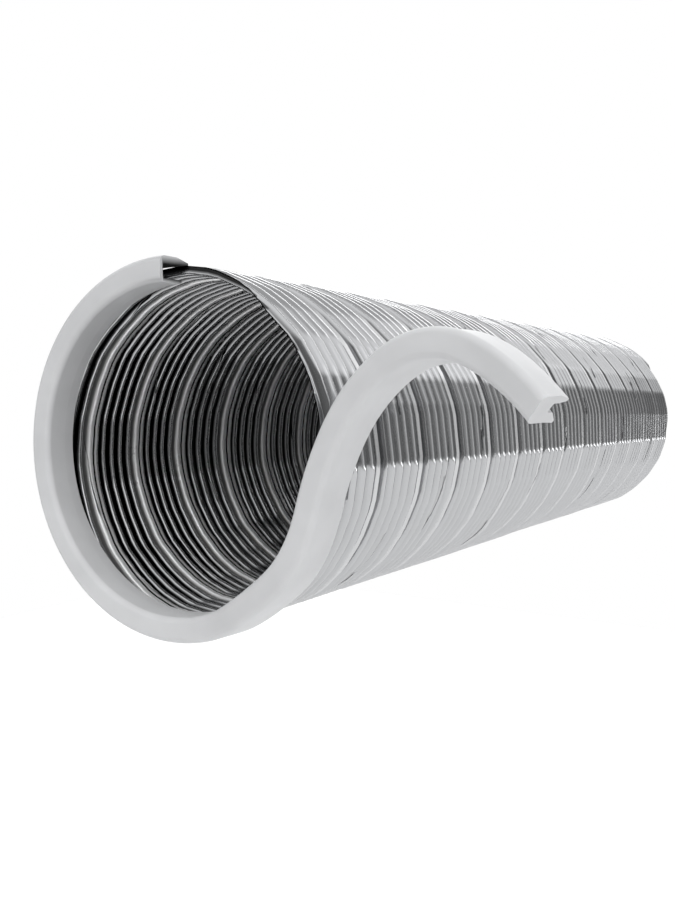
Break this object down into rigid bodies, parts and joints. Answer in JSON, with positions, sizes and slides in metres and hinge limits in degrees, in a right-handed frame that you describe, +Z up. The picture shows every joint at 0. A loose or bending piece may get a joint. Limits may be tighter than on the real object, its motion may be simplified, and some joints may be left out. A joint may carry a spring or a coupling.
{
  "type": "flexible air duct",
  "caption": "Spiral-wound corrugated aluminium flexible air duct; bends and stretches, with a grey plastic edge trim partly peeled off its front cut edge",
  "frame": {"origin": "centre of the rear open end, in the plane of the rear cut, where the spigot enters", "axes": "+X along the duct axis from the front (trimmed) end towards the rear, so the duct lies at negative X; +Z up; -Y is the near side in the picture, where the loose trim hangs"},
  "size_m": [0.4728, 0.2122, 0.1362],
  "materials": {
    "foil": "bright rolled aluminium strip, fluted and lock-seamed",
    "trim": "light grey flexible plastic edge trim, satin"
  },
  "bodies": {
    "duct_rear": {"duct_collar_rear": "foil"},
    "duct_01": {"duct_flex_01": "foil", "duct_ring_01": "foil"},
    "duct_02": {"duct_flex_02": "foil", "duct_ring_02": "foil"},
    "duct_03": {"duct_flex_03": "foil", "duct_ring_03": "foil"},
    "duct_04": {"duct_flex_04": "foil", "duct_ring_04": "foil"},
    "duct_05": {"duct_flex_05": "foil", "duct_ring_05": "foil"},
    "duct_06": {"duct_flex_06": "foil", "duct_ring_06": "foil"},
    "duct_07": {"duct_flex_07": "foil", "duct_ring_07": "foil"},
    "duct_08": {"duct_flex_08": "foil", "duct_ring_08": "foil"},
    "duct_09": {"duct_flex_09": "foil", "duct_ring_09": "foil"},
    "duct_10": {"duct_flex_10": "foil", "duct_ring_10": "foil"},
    "duct_front": {"duct_flex_11": "foil", "duct_collar_front": "foil", "trim_seated": "trim", "trim_lift_1": "trim", "trim_lift_2": "trim"},
    "tail_1": {"trim_flex_1": "trim", "trim_tail_1": "trim"},
    "tail_2": {"trim_flex_2": "trim", "trim_tail_2": "trim"},
    "tail_3": {"trim_flex_3": "trim", "trim_tail_3": "trim"},
    "tail_4": {"trim_flex_4": "trim", "trim_tail_4": "trim"},
    "tail_5": {"trim_flex_5": "trim", "trim_tail_5": "trim"}
  },
  "joints": [
    {"name": "duct_bend_side", "type": "hinge", "parent": "duct_rear", "child": "duct_01", "pos_m": [-0.06, 0, 0], "axis": [0, 0, 1], "range_deg": [-14, 14], "deforming": ["duct_flex_01"]},
    {"name": "duct_bend_up", "type": "hinge", "parent": "duct_01", "child": "duct_02", "pos_m": [-0.096, 0, 0], "axis": [0, 1, 0], "range_deg": [-14, 14], "deforming": ["duct_flex_02"]},
    {"name": "duct_stretch", "type": "slide", "parent": "duct_02", "child": "duct_03", "axis": [-1, 0, 0], "range_m": [-0.009, 0.003], "deforming": ["duct_flex_03"]},
    {"name": "duct_bend_side_2", "type": "hinge", "parent": "duct_03", "child": "duct_04", "pos_m": [-0.168, 0, 0], "axis": [0, 0, 1], "range_deg": [-14, 14], "deforming": ["duct_flex_04"]},
    {"name": "duct_bend_up_2", "type": "hinge", "parent": "duct_04", "child": "duct_05", "pos_m": [-0.204, 0, 0], "axis": [0, 1, 0], "range_deg": [-14, 14], "deforming": ["duct_flex_05"]},
    {"name": "duct_stretch_2", "type": "slide", "parent": "duct_05", "child": "duct_06", "axis": [-1, 0, 0], "range_m": [-0.009, 0.003], "deforming": ["duct_flex_06"]},
    {"name": "duct_bend_side_3", "type": "hinge", "parent": "duct_06", "child": "duct_07", "pos_m": [-0.276, 0, 0], "axis": [0, 0, 1], "range_deg": [-14, 14], "deforming": ["duct_flex_07"]},
    {"name": "duct_bend_up_3", "type": "hinge", "parent": "duct_07", "child": "duct_08", "pos_m": [-0.312, 0, 0], "axis": [0, 1, 0], "range_deg": [-14, 14], "deforming": ["duct_flex_08"]},
    {"name": "duct_stretch_3", "type": "slide", "parent": "duct_08", "child": "duct_09", "axis": [-1, 0, 0], "range_m": [-0.009, 0.003], "deforming": ["duct_flex_09"]},
    {"name": "duct_bend_side_4", "type": "hinge", "parent": "duct_09", "child": "duct_10", "pos_m": [-0.384, 0, 0], "axis": [0, 0, 1], "range_deg": [-14, 14], "deforming": ["duct_flex_10"]},
    {"name": "duct_bend_up_4", "type": "hinge", "parent": "duct_10", "child": "duct_front", "pos_m": [-0.42, 0, 0], "axis": [0, 1, 0], "range_deg": [-14, 14], "deforming": ["duct_flex_11"]},
    {"name": "trim_peel", "type": "hinge", "parent": "duct_front", "child": "tail_1", "pos_m": [-0.46564, -0.05619, -0.03726], "axis": [1, 0, 0], "range_deg": [-10, 10], "deforming": ["trim_flex_1"]},
    {"name": "trim_peel_2", "type": "hinge", "parent": "tail_1", "child": "tail_2", "pos_m": [-0.46447, -0.06703, -0.01262], "axis": [1, 0, 0], "range_deg": [-10, 10], "deforming": ["trim_flex_2"]},
    {"name": "trim_peel_3", "type": "hinge", "parent": "tail_2", "child": "tail_3", "pos_m": [-0.46214, -0.07673, 0.01287], "axis": [1, 0, 0], "range_deg": [-10, 10], "deforming": ["trim_flex_3"]},
    {"name": "trim_peel_4", "type": "hinge", "parent": "tail_3", "child": "tail_4", "pos_m": [-0.46184, -0.09665, 0.03127], "axis": [1, 0, 0], "range_deg": [-10, 10], "deforming": ["trim_flex_4"]},
    {"name": "trim_peel_5", "type": "hinge", "parent": "tail_4", "child": "tail_5", "pos_m": [-0.46334, -0.12298, 0.02894], "axis": [1, 0, 0], "range_deg": [-10, 10], "deforming": ["trim_flex_5"]}
  ],
  "couplings": [
    {"joint": "duct_bend_side_2", "follows": "duct_bend_side", "ratio": 1},
    {"joint": "duct_bend_up_2", "follows": "duct_bend_up", "ratio": 1},
    {"joint": "duct_stretch_2", "follows": "duct_stretch", "ratio": 1},
    {"joint": "duct_bend_side_3", "follows": "duct_bend_side", "ratio": 1},
    {"joint": "duct_bend_up_3", "follows": "duct_bend_up", "ratio": 1},
    {"joint": "duct_stretch_3", "follows": "duct_stretch", "ratio": 1},
    {"joint": "duct_bend_side_4", "follows": "duct_bend_side", "ratio": 1},
    {"joint": "duct_bend_up_4", "follows": "duct_bend_up", "ratio": 1},
    {"joint": "trim_peel_2", "follows": "trim_peel", "ratio": 1},
    {"joint": "trim_peel_3", "follows": "trim_peel", "ratio": 1},
    {"joint": "trim_peel_4", "follows": "trim_peel", "ratio": 1},
    {"joint": "trim_peel_5", "follows": "trim_peel", "ratio": 1}
  ]
}
